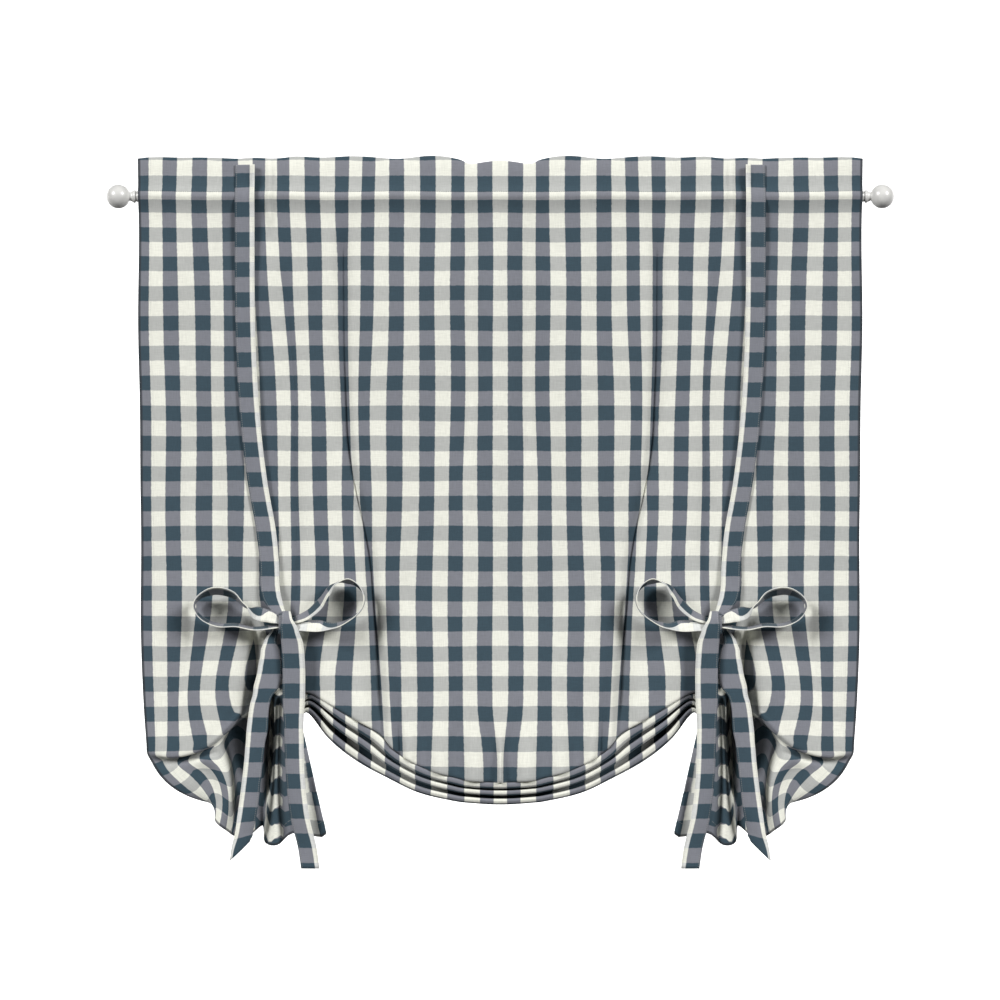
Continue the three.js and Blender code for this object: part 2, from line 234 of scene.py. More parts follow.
def finishMaterial(wire, shader, colour, rough, height, strength):
    bump = wire.node("ShaderNodeBump", {}, {"Height": height, "Strength": strength, "Distance": 1.0})
    for name, value in (("Base Color", colour), ("Roughness", rough), ("Normal", bump)):
        wire.tree.links.new(value.socket, shader.inputs[name])


def paleMaterial():  # the floor is pale, and its far end white
    material, shader, wire = startMaterial("paleSweep", studio["floorRoughness"])
    axes = wire.node("ShaderNodeSeparateXYZ", {}, {"Vector": wire.node("ShaderNodeTexCoord", out="Object")})
    back = Wire(wire.tree, axes.socket.node.outputs["Y"]).ramp(studio["paleFrom"], studio["paleTo"])
    colour = back.blend(studio["floorPale"], studio["wallPale"])
    glow = back.blend((0, 0, 0, 1), (1, 1, 1, 1))
    wire.tree.links.new(colour.socket, shader.inputs["Base Color"])
    wire.tree.links.new(glow.socket, shader.inputs["Emission Color"])
    shader.inputs["Emission Strength"].default_value = studio["glow"]
    return material


# gingham: four cell colours, the yarn that carries them, the stitched hems, painted shade at the hems and the
# pocket's seam, and a painted highlight on the ties' white edges
gingham = {
    "cream": (0.80, 0.80, 0.715, 1), "blueOverCream": (0.205, 0.212, 0.24, 1),
    "creamOverBlue": (0.45, 0.458, 0.44, 1), "navy": (0.042, 0.072, 0.094, 1),
    "tieEdgeHighlight": (0.66, 0.67, 0.65, 1), "thread": (0.5, 0.5, 0.48, 1), "shadow": (0.03, 0.034, 0.04, 1),
    "stripe": 22 * mm, "softEdge": 0.7 * mm, "rowPhase": 98.3 * mm,
    "roughness": 0.86, "gloss": 0.18, "sheen": 0.12, "sheenRoughness": 0.5,
    "wanderScale": 160.0, "wander": 1.2 * mm, "tieWander": 0.6 * mm,
    "yarn": 1.0 * mm, "slubThin": 900, "slubLong": 60, "cloudScale": 9.0, "cloudDetail": 3.0,
    "yarnShade": 0.07, "slubShade": 0.22, "cloudShade": 0.1, "slubRoughness": 0.15,
    "yarnHigh": 0.12 * mm, "slubHigh": 0.2 * mm, "stitchDeep": 0.3 * mm, "bump": 0.6,
    "seam": 20 * mm, "tieSeam": 2.2 * mm, "pocketRow": -23.0 * mm,
    "stitch": 3.2 * mm, "stitchHalf": (0.7 * mm, 0.4 * mm), "stitchGap": (0.30, 0.36),
    "seamShows": 0.25, "pocketShadeShows": 0.5, "paintedHemShade": (5 * mm, 3 * mm), "paintedHemShadeShows": 0.75,
}


def stripeMask(x, centre, soft):  # 1 on the blue stripes, which are as wide as the cream ones
    pitch = 2 * gingham["stripe"]
    off = ((x - centre) / pitch + 0.5).maths("FLOORED_MODULO", 1.0) - 0.5
    return off.maths("ABSOLUTE").ramp(0.25 + soft / pitch, 0.25 - soft / pitch)


def ginghamMaterial(name, isTie):
    material, shader, wire = startMaterial(name, gingham["roughness"])
    shader.inputs["Specular IOR Level"].default_value = gingham["gloss"]
    shader.inputs["Sheen Weight"].default_value = gingham["sheen"]
    shader.inputs["Sheen Roughness"].default_value = gingham["sheenRoughness"]

    def axesOf(layer):  # the two coordinates of a UV map
        spot = wire.node("ShaderNodeUVMap", {"uv_map": layer})
        axes = wire.node("ShaderNodeSeparateXYZ", {}, {"Vector": spot})
        return spot, axes, Wire(wire.tree, axes.socket.node.outputs["Y"])

    spot, u, v = axesOf("weave")
    _, sideIn, hemIn = axesOf("edge")

    # yarns wander a little, so no stripe has a ruled edge
    wander = spot.noise(gingham["wanderScale"]) - 0.5
    soft, stripe = gingham["softEdge"], gingham["stripe"]
    weftMask = stripeMask(v + wander * gingham["wander"], gingham["rowPhase"], soft)
    if isTie:
        warpMask = (u + wander * gingham["tieWander"]).ramp(stripe + soft, stripe - soft)
    else:
        warpMask = stripeMask(u + wander * gingham["wander"], stripe, soft)

    # plain weave: the warp is on top where the two waves have one sign
    turn = math.pi / gingham["yarn"]
    over = (u * turn).maths("SINE") * (v * turn).maths("SINE")
    thin, long = gingham["slubThin"], gingham["slubLong"]
    stretched = [wire.node("ShaderNodeMapping", {"vector_type": "POINT"}, {"Vector": spot, "Scale": scale})
                 for scale in ((thin, long, 1), (long, thin, 1))]
    grain = stretched[0].noise(1.0) + stretched[1].noise(1.0) - 1.0

    lightRow = warpMask.blend(gingham["cream"], gingham["blueOverCream"])
    # painted highlight: on the ties the white stripe's cells in blue rows are drawn lighter than the same
    # cloth on the panel, so their white edges read bright
    darkRow = warpMask.blend(gingham["tieEdgeHighlight" if isTie else "creamOverBlue"], gingham["navy"])
    cell = weftMask.blend(lightRow, darkRow)
    cloudy = spot.noise(gingham["cloudScale"], gingham["cloudDetail"]) - 0.5
    shade = 1.0 + over * gingham["yarnShade"] + grain * gingham["slubShade"] + cloudy * gingham["cloudShade"]
    tinted = wire.node("ShaderNodeVectorMath", {"operation": "SCALE"}, {0: cell, "Scale": shade})

    # stitched hems: a row of short stitches a little in from each edge
    def stitches(across, along, inset):
        line = (across - inset).maths("ABSOLUTE").ramp(*gingham["stitchHalf"])
        return line * (along / gingham["stitch"]).maths("FLOORED_MODULO", 1.0).ramp(*gingham["stitchGap"])

    if isTie:
        sewn = stitches(sideIn, v, gingham["tieSeam"])
    else:
        sewn = stitches(sideIn, v, gingham["seam"]).maths("MAXIMUM", stitches(hemIn, u, gingham["seam"]))
    colour = (sewn * gingham["seamShows"]).blend(tinted, gingham["thread"])
    if not isTie:
        # painted shade: the pocket's row of stitches is drawn half-way to the shadow colour, a dark line
        # along the seam
        pocket = stitches(v, u, gingham["pocketRow"])
        sewn = sewn.maths("MAXIMUM", pocket)
        colour = (pocket * gingham["pocketShadeShows"]).blend(colour, gingham["shadow"])
        # painted shade: within a few millimetres of the side and bottom hems the cloth is drawn towards the
        # shadow colour, as if the turned edge lay in shade
        paintedHemShade = sideIn.maths("MINIMUM", hemIn).ramp(*gingham["paintedHemShade"])
        colour = (paintedHemShade * gingham["paintedHemShadeShows"]).blend(colour, gingham["shadow"])
    rough = gingham["roughness"] + grain * gingham["slubRoughness"]
    height = over * gingham["yarnHigh"] + grain * gingham["slubHigh"] - sewn * gingham["stitchDeep"]
    finishMaterial(wire, shader, colour, rough, height, gingham["bump"])
    return material


# white enamel on the rod and finials, a little uneven and worn dull in places
enamel = {
    "colour": (0.72, 0.715, 0.69, 1), "dull": (0.62, 0.615, 0.6, 1), "roughness": 0.3, "unevenGloss": 0.2,
    "coat": 0.25, "coatRoughness": 0.2, "cloudScale": 60.0, "cloudDetail": 4.0, "dullFrom": (0.35, 0.75),
    "flowScale": 240.0, "flowHigh": 0.2 * mm, "bump": 0.25,
}


def enamelMaterial():
    material, shader, wire = startMaterial("whiteEnamel", enamel["roughness"])
    shader.inputs["Coat Weight"].default_value = enamel["coat"]
    shader.inputs["Coat Roughness"].default_value = enamel["coatRoughness"]
    spot = wire.node("ShaderNodeTexCoord", out="Object")
    cloudy = spot.noise(enamel["cloudScale"], enamel["cloudDetail"], flat=False)
    colour = cloudy.ramp(*enamel["dullFrom"]).blend(enamel["colour"], enamel["dull"])
    rough = enamel["roughness"] + (cloudy - 0.5) * enamel["unevenGloss"]
    height = spot.noise(enamel["flowScale"], flat=False) * enamel["flowHigh"]
    finishMaterial(wire, shader, colour, rough, height, enamel["bump"])
    return material


# panel: the sections and folds of the part's source, on a finer grid,
# with the smaller creases laid over them
panel = {
    "thickness": 1.1, "hemThickness": 2.0, "hemBand": (24, 18),
    "wrap": 9.45, "wrapAngle": 29, "layerDeep": 1.7,
    "upperSeam": 17, "lowerSeam": -22, "turn": 2, "seamDeep": -2.7, "hangDeep": -6,
    "upperLevel": -131, "midLevel": -328, "lowLevel": -460, "tieLevel": -592,
    "upperShare": 1 / 3, "lowShare": 1 / 2,
    "bellyShare": 0.7, "brimRise": 13, "brimDeep": -1, "lowerStations": 12,
    "headingShare": 0.5, "headingRise": 30, "hangDrop": 70, "fadeShare": 0.12, "endless": -900,
    "flatSize": (1.112, 1.09), "flatHalf": 556, "columnStep": 4.2, "leastColumns": 4,
    "foldToHem": (0.3, 1), "deepest": 44,
    # stations down a thread: the top edge, and the ones from the tie to the bend and on past it
    "topStation": 6, "tieToBend": 3, "underEnd": 2, "lowStart": 6, "lowEnd": 8,
    "hang": named(
        ("flat", "topOut", "topLevel", "midOut", "tieOut", "bellyOut", "bellyDeep"),
        [
            (0, 0, 52, 0, 0, 0, -15),
            (44, 43, 49, 43, 45, 44, -14),
            (66, 61, 54, 63, 66, 65, -15),
            (110, 107, 59, 107, 110, 110, -13),
            (154, 152, 54, 154, 159, 153, -13),
            (198, 193, 59, 201, 190, 179, -5),
            (242, 232, 58, 226, 219, 230, -12),
            (286, 275, 57, 266, 262, 274, -10),
            (300, 289, 57, 279, 275, 290, -8),
            (312, 301, 57, 288, 287, 297, -2),
            (325, 314, 56, 298, 298, 304, 8),
            (341, 327, 56, 308, 307, 312, 24),
            (363, 345, 56, 327, 322, 322, 22),
            (385, 364, 56, 351, 351, 336, -4),
            (396, 374, 56, 363, 363, 348, -10),
            (407, 385, 56, 376, 376, 373, -9),
            (429, 408, 57, 402, 398, 406, -13),
            (462, 440, 56, 433, 435, 448, -12),
            (506, 485, 57, 480, 478, 479, -9),
            (556, 531, 55, 528, 526, 523, -5),
        ]),
    "lower": named(
        ("bendOut", "bendLevel", "bendDeep", "wayOut", "wayLevel", "hemOut", "hemLevel",
         "foldDeep", "hemDeep", "firstTuck", "nextTucks"),
        [
            (0, -857, -17, 0, -875, 0, -891, -9, 32, 16, 15),
            (43, -855, -16, 44, -872, 45, -888, -8, 33, 17, 16),
            (63, -851, -17, 65, -869, 68, -885, -9, 32, 18, 17),
            (112, -837, -15, 118, -856, 122, -873, -7, 33, 20, 19),
            (150, -815, -15, 160, -834, 169, -851, -7, 33, 22, 21),
            (176, -787, -10, 196, -806, 212, -826, -3, 34, 24, 22),
            (231, -756, -12, 242, -775, 253, -794, -5, 33, 22, 19),
            (274, -730, -9, 279, -743, 285, -757, -2, 33, 13, 11),
            (289, -726, -6, 293, -757, 296, -790, 4, 34, 2, 1),
            (299, -725, 4, 301, -795, 300, -866, 8, 27, 0, 0),
            (304, -724, 14, 279, -826, 256, -935, 10, 0, 0, 0),
            (313, -724, 32, 311, -834, 306, -936, 40, 16, 0, 0),
            (325, -724, 30, 326, -834, 327, -951, -8, -8, 0, 0),
            (339, -724, 24, 338, -834, 345, -948, 42, 6, 0, 0),
            (351, -724, -8, 353, -834, 350, -925, -4, 22, 0, 0),
            (375, -752, -5, 366, -834, 373, -942, 40, -6, 12, 0),
            (399, -781, -12, 384, -826, 388, -938, 38, -6, 16, 0),
            (433, -809, -14, 382, -838, 399, -931, -6, -5, 15, 0),
            (479, -822, -12, 408, -848, 417, -914, -2, -3, 11, 0),
            (518, -815, -6, 492, -887, 400, -893, -1, 12, 0, 0),
        ]),
    # the thread that shows, by section: pleats bring more cloth into fan and wing than their sections hold
    "fanWeave": [
        (9, 312), (10, 326), (10.3, 341), (10.6, 363), (10.65, 385), (10.75, 407), (11.35, 412), (11.5, 424),
        (12.6, 431), (13.15, 434), (13.25, 451), (14.6, 473), (15, 480),
    ],
    "bellyWeave": [(14.5, 372), (15.1, 385), (15.76, 407), (16.25, 429), (17, 462), (18, 506), (19, 556)],
    "wingWeave": [(14, 384), (15, 402), (16, 421), (17, 456), (18, 506), (19, 556)],
    # under the wing's crease, and at its lower corner
    "lobeWeave": [(14, 384), (14.9, 388), (15, 407), (16.55, 429), (17, 440), (18, 498), (19, 556)],
    "cornerWeave": [(14, 384), (15, 396), (16, 414), (17, 440), (18, 498), (19, 556)],
    # on the swag's rolls, by distance out
    "rollWeave": [(0, 0), (39.5, 44), (89, 88), (137, 132), (180, 176), (218, 220), (255, 264), (290, 308)],
    # the middle pleat of the fan: how far its rows are drawn up, by section, and the sway of its stripes,
    # since its ridge lies on the bias
    "fanSlip": [
        (0, 0), (10.5, 0), (11.1, 14), (11.45, 8), (12, -4.5), (12.6, 9), (13, 9), (13.6, 0), (19, 0),
    ],
    "fanSway": {"size": 8.5, "start": (11.35, 11.5), "end": (13.3, 13.15)},
    "fanStart": 9, "fanEnd": 14.5,
    "troughs": named(
        ("topFlat", "lowFlat", "moveFrom", "moveTo", "deep", "halfWidth", "pinch", "fromLevel", "toLevel",
         "kept"),
        [
            (242, 193, -330, -560, 11, 12, 3.5, 0, -900, 0.6),
            (240, 240, 0, -900, 2, 8, 1, -20, -440, 0.5),
            (199, 182, -560, -740, 2, 10, 1, -430, -790, 0.6),
            (153, 150, -690, -800, 6, 7, 2, -660, -1500, 1),
            (334, 322, -90, -600, 5, 11, 4, -90, -600, 0.5),
            (44, 44, 0, -420, 5, 13, 1, 70, -420, 0.5),
            (134, 126, -540, -900, 5, 12, 1.5, -540, -900, 0.5),
            (440, 446, -40, -640, 4, 14, 1, -40, -640, 0.5),
            (484, 478, -300, -760, 4, 13, 1, -300, -760, 0.5),
            (0, 0, 0, -900, -1, 32, 22, -740, -1500, 1),
        ]),
    # cloth that stands proud beside the strap, at the pocket
    "puff": {"flat": 355, "halfWidth": 6, "proud": 6, "low": (-52, -28), "high": (60, 44)},
    "pucker": {
        "pitch": 44, "deep": 8, "start": 110, "end": 10, "reach": 200, "fade": 60,
        "uneven": [(0.4, 37, math.inf, 0), (0.3, 19, math.inf, 1)],
    },
    "gather": {  # waves as size, length, and the size and length of their own sway
        "waves": [(1, 4.9, 1.3, 13.7), (0.6, 2.9, 2, 21)],
        "size": -0.7, "proud": 1.6, "low": (-90, -8), "high": (30, 0),
    },
    "drift": {
        "side": [(0.7, 23, 61, 0), (0.5, 41, -37, 2)], "sideFade": (0, 20),
        "back": [(0.6, 17, -90, 1), (0.5, 29, 53, 0)], "backFade": (-20, -90),
        "down": [(0.6, 31, 47, 3)], "headingDown": [(0.7, 12, math.inf, 1)], "headingFade": (30, 50),
    },
    # dark hollows: beside the bow's ends, and between the pleats of the fan
    "hollows": named(
        ("flat", "lowFlat", "halfWidth", "deep", "fromLevel", "fullLevel", "lastLevel", "stations"),
        [(400, 402.5, 5, 28, -612, -650, -750, 5), (336, 336, 4, 8, -724, -780, -1500, 16)]),
    "hollowMove": 100, "hollowEnd": (-14, 6),
    # the swag's hem hangs in three soft rolls behind its front edge; each shows cream, then a little blue
    "rolls": {
        "innerDeep": (10, 36, 50), "backDeep": (10, 36, 50),
        "shoulderDeep": (2, 6, 9), "bottomDeep": (4, 8, 12),
        "innerPlace": (0.02, 0.23, 0.52), "backPlace": (0.05, 0.45, 0.88),
        "shoulderPlace": (0.06, 0.41, 0.8), "bottomPlace": (0.26, 0.57, 1),
        "fullTuck": 10, "foldBack": 6,
        "creamEnds": (923.3, 967.3, 1011.3), "creamShown": 8.3, "blueShown": 3.7,
        "hiddenShares": (0.45, 0.55),
        # each part of a roll: its place in loose cloth and in tucked cloth, and its share of the lift
        "parts": (
            ("inner", 1 / 4, 0.5, 1), ("back", 1 / 2, 0.46, 0.5), ("shoulder", 3 / 4, 0.48, 0),
            ("bottom", 1, 1, 0),
        ),
    },
    "rows": (  # in each gap between stations
        2, 2, 2, 2, 2, 2, 2, 2, 3, 3, 3, 3, 14, 18, 12, 12, 16, 8, 5, 5, 3, 5, 6, 5, 3, 5, 6, 5, 3, 5, 6,
    ),
    "register": [  # levels, and the weave's place at each
        (-98.3, 98.3), (-56.5, 54.3), (-24, 21.3), (-5, -0.7), (5.5, -22.7), (30.5, -44.7), (52.5, -66.7),
    ],
}


def sectionAt(rows, place):  # a row between two sections; past the middle the shade mirrors itself
    last = len(rows) - 1
    index = min(int(place), last - 1)

    def value(i, name):
        if i < 0:
            return rows[-i][name] * (-1 if name.endswith("Out") or name == "flat" else 1)
        if i > last:
            return 2 * rows[last][name] - rows[last - 1][name]
        return rows[i][name]

    row = {}
    for name in rows[0]:
        before, a, b, after = (value(index + k, name) for k in (-1, 0, 1, 2))
        row[name] = hermite(a, b, (b - before) / 2, (after - a) / 2, place - index)
    return row


def troughShift(flat, level, settled):  # how far folds carry a thread back, and towards their middles
    deep = 0
    drawn = 0
    for trough in panel["troughs"]:
        share = min(max((trough["fromLevel"] - level) / (trough["fromLevel"] - trough["toLevel"]), 0), 1)
        moved = smooth(trough["moveFrom"], trough["moveTo"], level)
        off = (flat - mix(trough["topFlat"], trough["lowFlat"], moved)) / trough["halfWidth"]
        start = smooth(0, panel["fadeShare"], share)
        end = smooth(1, 1 - panel["fadeShare"], share) if trough["toLevel"] > panel["endless"] else 1
        held = math.exp(-off * off) * start * end * mix(1, trough["kept"], settled)
        deep += trough["deep"] * held
        drawn -= trough["pinch"] * off * held
    return deep, drawn


def pucker(flat, level, bendLevel):  # blue stripes sink between the cream ones where the swag turns under
    size = panel["pucker"]
    sunk = 0.5 - 0.5 * math.cos(2 * math.pi * flat / size["pitch"])
    uneven = 1 + waves(size["uneven"], flat, level)
    near = smooth(bendLevel + size["start"], bendLevel + size["end"], level)
    near *= smooth(size["reach"] + size["fade"], size["reach"], flat)
    return size["deep"] * (sunk - 0.5) * uneven * near


def hollow(flat, level, below):
    back = 0
    for size in panel["hollows"]:
        moved = smooth(size["fullLevel"], size["fullLevel"] - panel["hollowMove"], level)
        off = (flat - mix(size["flat"], size["lowFlat"], moved)) / size["halfWidth"]
        shown = smooth(size["fromLevel"], size["fullLevel"], level) * smooth(size["stations"], 0, below)
        shown *= smooth(*(size["lastLevel"] + past for past in panel["hollowEnd"]), level)
        back += size["deep"] * math.exp(-off * off) * shown
    return back


def drift(flat, level):  # woven cloth never hangs quite true: small slow shifts, sideways, back and down
    size = panel["drift"]
    side = waves(size["side"], flat, level) * smooth(*size["sideFade"], flat)
    back = waves(size["back"], flat, level) * smooth(*size["backFade"], level)
    down = waves(size["headingDown"], flat, level) * smooth(*size["headingFade"], level)
    return Vector((side, back, waves(size["down"], flat, level) + down))


def gather(flat, level):  # small puckers that the pocket's seams draw into the cloth, proud of the rod only
    size, puff = panel["gather"], panel["puff"]
    wave = sum(high * math.sin(flat / long + sway * math.sin(flat / swayLong))
               for high, long, sway, swayLong in size["waves"])
    near = smooth(*(panel["lowerSeam"] + past for past in size["low"]), level)
    near *= smooth(*(panel["upperSeam"] + past for past in size["high"]), level)
    off = (flat - puff["flat"]) / puff["halfWidth"]
    proud = puff["proud"] * math.exp(-off * off) * smooth(*puff["low"], level) * smooth(*puff["high"], level)
    return size["size"] * (wave + size["proud"]) * near - proud


def threadStations(place):
    top = sectionAt(panel["hang"], place)
    low = sectionAt(panel["lower"], place)
    wrap, layer, shoulder = panel["wrap"], panel["layerDeep"], top["topLevel"] - panel["turn"]
    nose = wrap * math.cos(math.radians(panel["wrapAngle"]))
    rise = wrap * math.sin(math.radians(panel["wrapAngle"]))
    bellyLevel = mix(panel["tieLevel"], low["bendLevel"], panel["bellyShare"])
    brimLevel = low["bendLevel"] + panel["brimRise"]
    brimShare = (brimLevel - bellyLevel) / (low["bendLevel"] - bellyLevel)
    side = [  # up the back of the pocket, over the heading and down the front
        (layer, panel["lowerSeam"]), (nose, -rise), (wrap, 0), (nose, rise), (layer, panel["upperSeam"]),
        (layer, shoulder), (0, top["topLevel"]), (-layer, shoulder), (-layer, panel["upperSeam"]),
        (-nose, rise), (-wrap, 0), (-nose, -rise), (panel["seamDeep"], panel["lowerSeam"]),
    ]
    points = [Vector((top["topOut"], deep, level)) for deep, level in side]
    upperOut = mix(top["topOut"], top["midOut"], panel["upperShare"])
    lowOut = mix(top["midOut"], top["tieOut"], panel["lowShare"])
    brimOut = mix(top["bellyOut"], low["bendOut"], brimShare)
    points += [
        Vector((upperOut, panel["hangDeep"], panel["upperLevel"])),
        Vector((top["midOut"], panel["hangDeep"], panel["midLevel"])),
        Vector((lowOut, panel["hangDeep"], panel["lowLevel"])),
        Vector((top["tieOut"], panel["hangDeep"], panel["tieLevel"])),
        Vector((top["bellyOut"], top["bellyDeep"], bellyLevel)),
        Vector((brimOut, low["bendDeep"] + panel["brimDeep"], brimLevel)),
        Vector((low["bendOut"], low["bendDeep"], low["bendLevel"])),
    ]
    rolls = panel["rolls"]
    count = panel["lowerStations"] // len(rolls["parts"])
    swag = min(max(low["nextTucks"] / rolls["fullTuck"], 0), 1)
    for roll in range(count):
        tuck = max(low["firstTuck"] if roll == 0 else low["nextTucks"], 0)
        tucked = min(tuck / rolls["fullTuck"], 1)
        for part, loosePlace, tuckedPlace, lifted in rolls["parts"]:
            t = mix((roll + mix(loosePlace, tuckedPlace, tucked)) / count, rolls[part + "Place"][roll], swag)
            bend, way, hem = (1 - t) * (1 - t), 2 * t * (1 - t), t * t
            out = bend * low["bendOut"] + way * low["wayOut"] + hem * low["hemOut"]
            level = bend * low["bendLevel"] + way * low["wayLevel"] + hem * low["hemLevel"]
            deep = mix(low["foldDeep"], low["hemDeep"], smooth(*panel["foldToHem"], t))
            level += tuck * lifted * (1 - swag)
            deep += rolls["foldBack"] * tucked * (lifted > 0)
            deep = mix(deep, low["bendDeep"] + rolls[part + "Deep"][roll], swag)
            points.append(Vector((out, deep, level)))
    return points, top["flat"], bellyLevel, low["bendLevel"], swag


def rollDown(below, bendDown):  # places in the weave down the swag's rolls, which lie along the weft
    rolls = panel["rolls"]
    down = [(0, bendDown)]
    for end in rolls["creamEnds"]:
        before, start = down[-1][1], end - rolls["creamShown"]
        hidden = [mix(before, start, share) for share in rolls["hiddenShares"]]
        for place in (*hidden, start, end + rolls["blueShown"]):
            down.append((len(down), place))
    return alongTable(down, below)


def threadLine(place):  # points down one thread, each with its place in the weave
    points, flat, bellyLevel, bendLevel, swag = threadStations(place)
    gaps = len(points) - 1
    bend = gaps - panel["lowerStations"]
    tieStation, topStation = bend - panel["tieToBend"], panel["topStation"]
    edgeLevel = points[topStation].z
    lowest = panel["register"][0][0]
    line = []
    run = 0
    last = None
    bendDown = 0
    for i in range(gaps + 1):
        count = panel["rows"][i] if i < gaps else 1
        for j in range(count):
            where = i + j / count
            spot = throughPoints(points, where) if where < gaps else points[-1].copy()
            if where > tieStation:
                run += (spot - last).length
            last = spot.copy()
            level = spot.z
            if i < topStation:
                down = alongTable(panel["register"], edgeLevel) - (edgeLevel - level)
            elif where <= tieStation:
                down = alongTable(panel["register"], level) if level > lowest else -level
            else:
                down = -panel["tieLevel"] + run
            if where <= bend:
                bendDown = down
            else:
                down = mix(down, rollDown(where - bend, bendDown), swag)
            hanging = smooth(panel["lowerSeam"], panel["lowerSeam"] - panel["hangDrop"], level)
            standing = smooth(panel["upperSeam"], panel["upperSeam"] + panel["headingRise"], level)
            shown = max(hanging, panel["headingShare"] * standing)
            settled = smooth(bellyLevel, bendLevel, level) if i < bend else 1
            rolled = swag * smooth(bend, bend + 1, where)
            across = mix(flat, alongTable(panel["rollWeave"], spot.x), rolled)
            shown *= 1 - rolled
            deep, drawn = troughShift(flat, max(level, bendLevel), settled)
            spot.y += deep * shown + hollow(flat, level, max(where - bend, 0))
            spot.x += drawn * shown
            if where > topStation:
                spot.y += gather(flat, level) + pucker(flat, max(level, bendLevel), bendLevel) * (i <= bend)
            spot += drift(flat, level)
            spot.y = min(spot.y, panel["deepest"])
            line.append({
                "spot": spot, "flat": flat, "across": across, "down": down,
                "belly": smooth(tieStation, tieStation + 1, where),
                "opened": smooth(tieStation + 1, bend, where),
                "under": smooth(bend, bend + panel["underEnd"], where),
                "low": smooth(bend + panel["lowStart"], bend + panel["lowEnd"], where),
            })
    for point in line:
        point["hemIn"] = line[-1]["down"] - point["down"]
    return line


def panelPlaces():  # columns from the middle to the side hem, about as far apart as columnStep
    places = []
    sections = panel["hang"]
    for i in range(len(sections) - 1):
        wide = sections[i + 1]["flat"] - sections[i]["flat"]
        count = max(panel["leastColumns"], round(wide / panel["columnStep"]))
        places += [i + j / count for j in range(count)]
    return places + [len(sections) - 1]


def weaveSpot(point, place, middle):  # a corner's place in the weave; middle is its face's own section
    across, opened = point["across"], point["opened"]
    inFan = middle < panel["fanEnd"]
    if not inFan:
        across = mix(across, alongTable(panel["bellyWeave"], place), point["belly"])
    if middle > panel["fanStart"]:
        across = mix(across, alongTable(panel["fanWeave" if inFan else "wingWeave"], place), opened)
        if not inFan:
            across = mix(across, alongTable(panel["lobeWeave"], place), point["under"])
            across = mix(across, alongTable(panel["cornerWeave"], place), point["low"])
    down = point["down"] + alongTable(panel["fanSlip"], place) * opened
    sway = panel["fanSway"]
    ridge = smooth(*sway["start"], place) * smooth(*sway["end"], place) * opened
    turn = math.pi * (down * mm - gingham["rowPhase"]) / gingham["stripe"]
    return across - sway["size"] * ridge * math.cos(turn), down


def panelPiece():
    half = panelPlaces()
    places = [-place for place in reversed(half[1:])] + half
    lines = {place: threadLine(place) for place in half}
    columns, rows = len(places), len(lines[0])
    cloth = bmesh.new()
    bmesh.ops.create_grid(cloth, x_segments=columns - 1, y_segments=rows - 1, size=0.5)
    weave = cloth.loops.layers.uv.new("weave")
    edge = cloth.loops.layers.uv.new("edge")
    hems = cloth.verts.layers.deform.new()
    cells = {}
    for vert in cloth.verts:
        column = round((vert.co.x + 0.5) * (columns - 1))
        row = round((0.5 - vert.co.y) * (rows - 1))
        place = places[column]
        point = lines[abs(place)][row]
        cells[vert.index] = (place, point)
        spot = point["spot"]
        vert.co = (math.copysign(spot.x, place) * mm, spot.y * mm, spot.z * mm)
        inside = min(panel["flatHalf"] - point["flat"], point["hemIn"])
        vert[hems][0] = smooth(*panel["hemBand"], inside)
    for face in cloth.faces:
        middle = sum(abs(cells[loop.vert.index][0]) for loop in face.loops) / len(face.loops)
        for loop in face.loops:
            place, point = cells[loop.vert.index]
            across, down = weaveSpot(point, abs(place), middle)
            loop[weave].uv = (math.copysign(across, place) * mm, down * mm)
            loop[edge].uv = ((panel["flatHalf"] - point["flat"]) * mm, point["hemIn"] * mm)
    bmesh.ops.recalc_face_normals(cloth, faces=cloth.faces)
    piece = addPiece("gingham_panel", cloth, [ginghamMaterial("panelGingham", False)])
    piece.vertex_groups.new(name="hems")
    thick = piece.modifiers.new("clothThickness", "SOLIDIFY")
    thick.thickness = panel["hemThickness"] * mm
    thick.offset = 0
    thick.vertex_group = "hems"
    thick.thickness_vertex_group = panel["thickness"] / panel["hemThickness"]
    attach(piece, "root")
    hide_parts("panel")
    print("panel", columns, "by", rows)


